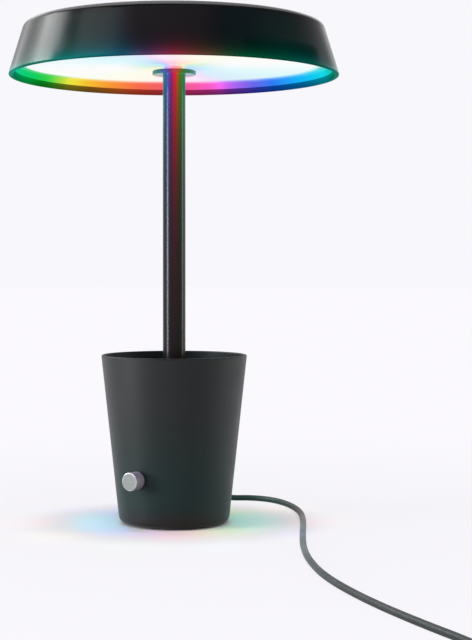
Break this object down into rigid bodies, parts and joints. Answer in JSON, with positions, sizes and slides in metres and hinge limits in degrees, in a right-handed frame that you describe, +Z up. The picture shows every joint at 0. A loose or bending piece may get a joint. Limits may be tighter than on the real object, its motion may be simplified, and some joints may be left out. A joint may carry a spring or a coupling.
{
  "type": "desk lamp with pen cup base",
  "caption": "Desk lamp with a broad shallow drum shade on a slim post that rises out of an open tapered pen cup, with a round dial on the cup.",
  "frame": {"origin": "on the table under the middle of the post, at the centre of the rest face", "axes": "+Z up along the post, -Y towards the front of the lamp, +X to its right"},
  "size_m": [0.3171, 0.682, 0.4071],
  "materials": {
    "satin_black": "satin",
    "matte_charcoal": "matte",
    "black_lacquer": "gloss",
    "inner_plastic": "matte",
    "plated_steel": "satin",
    "ballast_steel": "matte",
    "soft_rubber": "matte",
    "opal_sheet": "satin",
    "clear_guide": "gloss",
    "bare_aluminium": "satin",
    "turned_aluminium": "satin",
    "white_board": "satin",
    "green_board": "satin",
    "led_phosphor": "satin",
    "led_clear": "gloss",
    "white_nylon": "satin",
    "terminal_green": "satin",
    "winding_core": "satin",
    "chip_black": "matte",
    "lead_sleeve": "satin",
    "cord_sleeve": "satin",
    "plug_plastic": "satin",
    "plated_brass": "polished",
    "switch_red": "satin"
  },
  "bodies": {
    "lamp": {"shade_shell": "satin_black", "heat_spreader": "bare_aluminium", "head_screws": "plated_steel", "led_board": "white_board", "white_leds": "led_phosphor", "colour_leds": "led_clear", "head_socket": "white_nylon", "diffuser": "opal_sheet", "diffuser_ring": "clear_guide", "post_collar": "black_lacquer", "threaded_nipple": "plated_steel", "lock_washer": "plated_steel", "top_nut": "plated_steel", "lamp_lead": "lead_sleeve", "post_tube": "black_lacquer", "post_top_bush": "plated_steel", "post_foot": "plated_steel", "post_foot_screws": "plated_steel", "cup_shell": "matte_charcoal", "cup_floor": "inner_plastic", "floor_grommet": "soft_rubber", "ballast_weight": "ballast_steel", "bottom_cover": "inner_plastic", "foot_ring": "soft_rubber", "bottom_screws": "plated_steel", "control_board": "green_board", "board_standoffs": "white_nylon", "board_screws": "plated_steel", "driver_transformer": "winding_core", "bulk_capacitor": "bare_aluminium", "board_chips": "chip_black", "board_sockets": "white_nylon", "terminal_block": "terminal_green", "supply_lead": "cord_sleeve", "inner_cord_tie": "plated_steel", "cord_gland": "soft_rubber", "encoder_board": "green_board", "encoder_case": "plated_steel", "encoder_washer": "plated_steel", "encoder_nut": "plated_steel", "encoder_lead": "lead_sleeve", "power_cord": "cord_sleeve", "cord_coil": "cord_sleeve", "cord_tie": "soft_rubber", "cord_tail": "cord_sleeve", "plug_body": "plug_plastic", "plug_blades": "plated_brass"},
    "dial_rotor": {"encoder_rotor": "white_nylon"},
    "dial_knob": {"knob": "turned_aluminium", "encoder_shaft": "bare_aluminium", "knob_set_screw": "plated_steel"},
    "press_switch": {"switch_plunger": "switch_red"}
  },
  "joints": [
    {"name": "knob_turn", "type": "hinge", "parent": "lamp", "child": "dial_rotor", "pos_m": [0, 0, 0.0398], "axis": [-0.5764, -0.8171, 0], "continuous": true},
    {"name": "knob_press", "type": "slide", "parent": "dial_rotor", "child": "dial_knob", "axis": [0.5764, 0.8171, 0], "range_m": [0, 0.0005], "stiffness_N_per_m": 5000, "springref_m": -0.0005},
    {"name": "switch_press", "type": "slide", "parent": "lamp", "child": "press_switch", "axis": [0.5764, 0.8171, 0], "range_m": [0, 0.0005]}
  ],
  "couplings": [
    {"joint": "switch_press", "follows": "knob_press", "ratio": 1}
  ]
}
